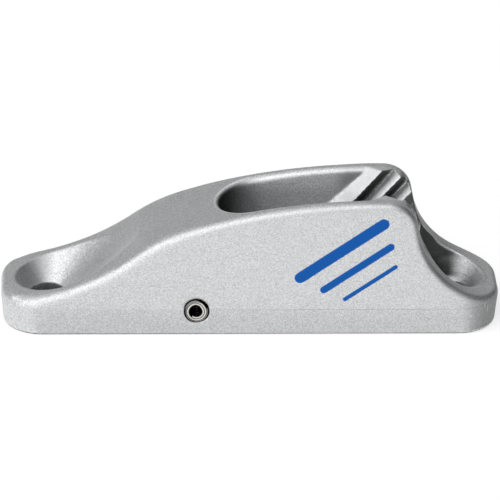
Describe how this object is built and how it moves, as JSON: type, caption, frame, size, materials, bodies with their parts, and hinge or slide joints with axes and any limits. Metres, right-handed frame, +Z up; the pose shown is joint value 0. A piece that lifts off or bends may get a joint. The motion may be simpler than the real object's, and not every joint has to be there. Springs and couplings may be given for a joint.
{
  "type": "jam cleat",
  "caption": "Cast jam cleat: a toothed V channel grips a rope, with a ramped nose, countersunk recesses at its ends and a coiled pin across a slot in its base.",
  "frame": {"origin": "centre of the casting's footprint, on its flat deck face", "axes": "+X from the low ramped nose to the tall toothed tail, +Y across the cleat, +Z up from the deck along the screw holes"},
  "size_m": [0.0826, 0.019, 0.0234],
  "materials": {
    "cast_body": "fine metallic silver coat over a die casting, satin",
    "pin_steel": "bright rolled spring steel strip"
  },
  "bodies": {
    "root": {"cleat_body": "cast_body", "spring_pin": "pin_steel"}
  },
  "joints": []
}
